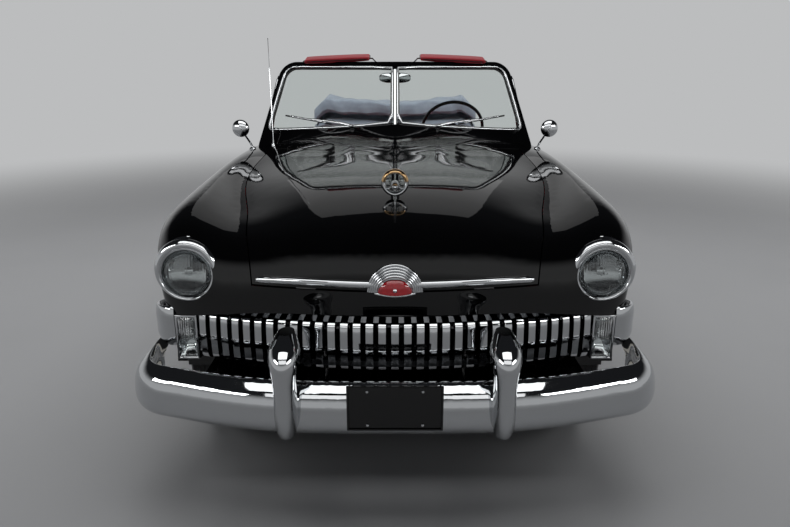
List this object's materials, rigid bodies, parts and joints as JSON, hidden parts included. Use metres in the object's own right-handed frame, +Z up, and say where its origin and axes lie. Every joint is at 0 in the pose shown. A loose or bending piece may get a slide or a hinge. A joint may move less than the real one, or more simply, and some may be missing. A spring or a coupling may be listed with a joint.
{
  "type": "full-size convertible car of the early 1950s",
  "caption": "Full-size two-door convertible with its top folded down, a toothed chrome grille, wrap-round bumpers, V windshield, opening doors, hood and trunk, steered and rolling wheels.",
  "frame": {"origin": "on the floor under the middle of the car's box", "axes": "+X to the car's left (driver's side), -Y to the front, +Z up"},
  "size_m": [1.954, 5.4058, 1.632],
  "materials": {
    "black_paint": "polished black lacquer",
    "chrome": "polished chrome plate",
    "frame_black": "satin black chassis paint",
    "glass": "clear safety glass",
    "tyre": "black rubber with a white sidewall band",
    "red_leather": "red upholstery",
    "top_canvas": "dark folded canvas",
    "cast_iron": "cast and machined",
    "red_lens": "red moulded lens",
    "gloss_plastic": "black moulded rim",
    "carpet": "dark carpet over steel",
    "plate": "blank black plate"
  },
  "bodies": {
    "root": {"antenna": "chrome", "chassis_frame": "frame_black", "cowl": "black_paint", "dashboard": "black_paint", "door_posts": "black_paint", "engine_block": "cast_iron", "exhaust": "cast_iron", "firewall": "black_paint", "floor_pan": "carpet", "folded_top": "top_canvas", "front_bumper": "chrome", "front_fenders": "black_paint", "front_plate": "plate", "front_seat": "red_leather", "front_suspension": "frame_black", "fuel_tank": "frame_black", "grille_bar": "chrome", "grille_surround": "black_paint", "headlamp_lenses": "glass", "headlamp_rims": "chrome", "lamp_wraps": "chrome", "mirrors": "chrome", "nose_panel": "black_paint", "parking_lamps": "glass", "quarter_panels": "black_paint", "radiator": "frame_black", "rear_axle": "frame_black", "rear_bumper": "chrome", "rear_deck": "black_paint", "rear_seat": "red_leather", "side_trims": "red_leather", "sills": "black_paint", "steering_column": "gloss_plastic", "sun_visors": "red_leather", "tail_lamps": "red_lens", "tail_panel": "black_paint", "top_well": "carpet", "wheelhouses": "frame_black", "windshield_frame": "black_paint", "windshield_glass": "glass", "wipers": "chrome"},
    "hood": {"hood": "black_paint", "hood_trim": "chrome"},
    "trunk_lid": {"trunk_lid": "black_paint"},
    "door_left": {"door_left": "black_paint", "vent_window_left": "chrome"},
    "door_right": {"door_right": "black_paint", "vent_window_right": "chrome"},
    "knuckle_left": {"knuckle_left": "frame_black"},
    "knuckle_right": {"knuckle_right": "frame_black"},
    "steering_wheel": {"steering_wheel": "gloss_plastic"},
    "wheel_front_left": {"tyre_front_left": "tyre", "wheel_front_left": "chrome"},
    "wheel_front_right": {"tyre_front_right": "tyre", "wheel_front_right": "chrome"},
    "wheel_rear_left": {"tyre_rear_left": "tyre", "wheel_rear_left": "chrome"},
    "wheel_rear_right": {"tyre_rear_right": "tyre", "wheel_rear_right": "chrome"}
  },
  "joints": [
    {"name": "steer_left", "type": "hinge", "parent": "root", "child": "knuckle_left", "pos_m": [0.673, -1.82, 0.355], "axis": [0, 0, 1], "range_deg": [-30, 30]},
    {"name": "steer_right", "type": "hinge", "parent": "root", "child": "knuckle_right", "pos_m": [-0.673, -1.82, 0.355], "axis": [0, 0, 1], "range_deg": [-30, 30]},
    {"name": "spin_front_left", "type": "hinge", "parent": "knuckle_left", "child": "wheel_front_left", "pos_m": [0.743, -1.82, 0.355], "axis": [1, 0, 0], "continuous": true},
    {"name": "spin_front_right", "type": "hinge", "parent": "knuckle_right", "child": "wheel_front_right", "pos_m": [-0.743, -1.82, 0.355], "axis": [1, 0, 0], "continuous": true},
    {"name": "spin_rear_left", "type": "hinge", "parent": "root", "child": "wheel_rear_left", "pos_m": [0.762, 1.177, 0.355], "axis": [1, 0, 0], "continuous": true},
    {"name": "spin_rear_right", "type": "hinge", "parent": "root", "child": "wheel_rear_right", "pos_m": [-0.762, 1.177, 0.355], "axis": [1, 0, 0], "continuous": true},
    {"name": "door_left_swing", "type": "hinge", "parent": "root", "child": "door_left", "pos_m": [0.936, -0.615, 0.7], "axis": [0, 0, -1], "range_deg": [0, 60]},
    {"name": "door_right_swing", "type": "hinge", "parent": "root", "child": "door_right", "pos_m": [-0.936, -0.615, 0.7], "axis": [0, 0, 1], "range_deg": [0, 60]},
    {"name": "hood_lift", "type": "hinge", "parent": "root", "child": "hood", "pos_m": [0, -0.87, 1.065], "axis": [-1, 0, 0], "range_deg": [0, 48]},
    {"name": "trunk_lift", "type": "hinge", "parent": "root", "child": "trunk_lid", "pos_m": [0, 1.6, 0.9], "axis": [1, 0, 0], "range_deg": [0, 60]},
    {"name": "steering_turn", "type": "hinge", "parent": "root", "child": "steering_wheel", "pos_m": [0.39, -0.07, 1.086], "axis": [0, 0.866, 0.5], "range_deg": [-480, 480]}
  ],
  "couplings": [
    {"joint": "steer_right", "follows": "steer_left", "ratio": 1},
    {"joint": "steering_turn", "follows": "steer_left", "ratio": 16}
  ]
}
